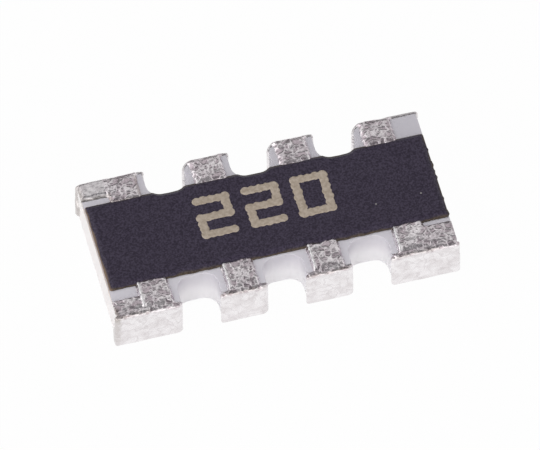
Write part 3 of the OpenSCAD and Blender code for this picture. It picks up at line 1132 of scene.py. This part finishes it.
def build_floor():
    """A plain white floor that keeps a soft shadow."""
    half = FLOOR_HALF * MM
    mesh = bpy.data.meshes.new("floor")
    corners = [(-half, -half, 0.0), (half, -half, 0.0), (half, half, 0.0), (-half, half, 0.0)]
    mesh.from_pydata(corners, [], [(0, 1, 2, 3)])
    floor = add_object("floor", mesh)
    floor.location.z = -FLOOR_DROP * MM
    mesh.materials.append(floor_material())


def floor_material():
    """White paper that mostly glows in rays from the camera and in reflections."""
    material, tree, shader = new_material("floor_white")
    tree.nodes.remove(shader)
    paper = add(tree, "BsdfDiffuse", Color=FLOOR_PAPER)
    glow = add(tree, "Emission", Color=WHITE, Strength=1.0)
    path = add(tree, "LightPath")
    seen = calc(tree, "MAXIMUM", path.outputs["Is Camera Ray"], path.outputs["Is Glossy Ray"])
    seen = calc(tree, "MAXIMUM", seen, path.outputs["Is Transmission Ray"])
    share = calc(tree, "MULTIPLY", seen, FLOOR_GLOW)
    mixed = add(tree, "MixShader", n0=share, n1=paper.outputs[0], n2=glow.outputs[0])
    tree.links.new(mixed.outputs[0], tree.nodes["Material Output"].inputs["Surface"])
    return material


def build_world():
    """A light tent, brightest at the left and darker overhead where it is open."""
    world = bpy.data.worlds.new("tent")
    world.use_nodes = True
    tree = world.node_tree
    background = tree.nodes["Background"]
    direction = add(tree, "TexCoord").outputs["Generated"]
    parts = add(tree, "SeparateXYZ", Vector=direction)
    x, y, up = (parts.outputs[axis] for axis in "XYZ")
    tent = blend(tree, remap(tree, up, 0.71, 0.99), WHITE, TENT_DARK)
    tree.links.new(tent, background.inputs["Color"])
    sides = remap(tree, x, -1.0, 1.0, TENT_LEFT, TENT_RIGHT)
    far = remap(tree, y, 0.3, 0.9)
    far_low = calc(tree, "MULTIPLY", far, remap(tree, up, 0.52, 0.84, FAR_SHADE, 0.0))
    near = remap(tree, y, -0.8, -0.2, NEAR_SHADE, 0.0)
    near_high = calc(tree, "MULTIPLY", near, remap(tree, up, 0.15, 0.4))
    light = calc(tree, "SUBTRACT", 1.0, calc(tree, "ADD", far_low, near_high))
    tree.links.new(calc(tree, "MULTIPLY", sides, light), background.inputs["Strength"])
    bpy.context.scene.world = world


def build_lamp():
    """A low soft lamp from the front left, for the chip's upright faces."""
    lamp = bpy.data.lights.new("soft_lamp", "AREA")
    lamp.shape = "RECTANGLE"
    lamp.size = LAMP_W * MM
    lamp.size_y = LAMP_H * MM
    lamp.energy = LAMP_POWER
    obj = add_object("soft_lamp", lamp)
    place = Vector(LAMP_PLACE) * MM
    obj.location = place
    obj.rotation_euler = place.to_track_quat("Z", "Y").to_euler()


def build_camera():
    """The camera at the photograph's angle."""
    azimuth = math.radians(VIEW_AZIMUTH)
    elevation = math.radians(VIEW_ELEVATION)
    roll = math.radians(VIEW_ROLL)
    back = Vector((
        math.sin(azimuth) * math.cos(elevation),
        -math.cos(azimuth) * math.cos(elevation),
        math.sin(elevation),
    ))
    level = Vector((math.cos(azimuth), math.sin(azimuth), 0.0))
    upright = back.cross(level)
    right = level * math.cos(roll) - upright * math.sin(roll)
    up = level * math.sin(roll) + upright * math.cos(roll)
    aim = right * (FRAME_W / 2 - ORIGIN_PIXEL_X) + up * (ORIGIN_PIXEL_Y - FRAME_H / 2)
    place = aim / PIXELS_PER_MM + back * VIEW_DISTANCE
    camera = bpy.data.cameras.new("camera")
    camera.sensor_fit = "HORIZONTAL"
    camera.sensor_width = SENSOR
    camera.lens = SENSOR * VIEW_DISTANCE * PIXELS_PER_MM / FRAME_W
    camera.clip_start = CLIP_START
    camera.clip_end = CLIP_END
    obj = add_object("camera", camera)
    turn = Matrix((right, up, back)).transposed().to_4x4()
    obj.matrix_world = Matrix.Translation(place * MM) @ turn
    bpy.context.scene.camera = obj


def dress_inner_layers():
    """Materials of the layers inside the chip, which keep their solids."""
    silver = film_material("silver_film", *SILVER_TONES, metallic=1.0, roughness=0.4, features=55.0)
    resistive = film_material(
        "resistive_film", *RESISTIVE_TONES, metallic=0.0, roughness=0.45, features=60.0
    )
    glass = film_material("glass_film", *GLASS_TONES, metallic=0.0, roughness=0.12, features=18.0)
    finishes = {
        "top_electrode": silver,
        "bottom_electrode": silver,
        "resistor_film": resistive,
        "glass_passivation": glass,
    }
    for name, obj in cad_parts.items():
        family = name.rsplit("_", 1)[0]
        if family in finishes:
            for material_slot in obj.material_slots:
                material_slot.material = finishes[family]


def build_terminals():
    """All the terminals, with their three metals."""
    tin = tin_material()
    nickel = film_material("nickel", *NICKEL_TONES, metallic=1.0, roughness=0.3, features=80.0)
    edge_metal = film_material(
        "edge_metal", *EDGE_METAL_TONES, metallic=1.0, roughness=0.35, features=70.0
    )
    for number in range(1, TERMINALS + 1):
        build_terminal(number, tin, nickel, edge_metal)


bpy.context.scene.view_settings.view_transform = "Standard"
build_camera()
build_world()
build_lamp()
build_floor()
build_ceramic(ceramic_material())
build_terminals()
build_coat(coat_material())
build_marking(mark_material())
dress_inner_layers()
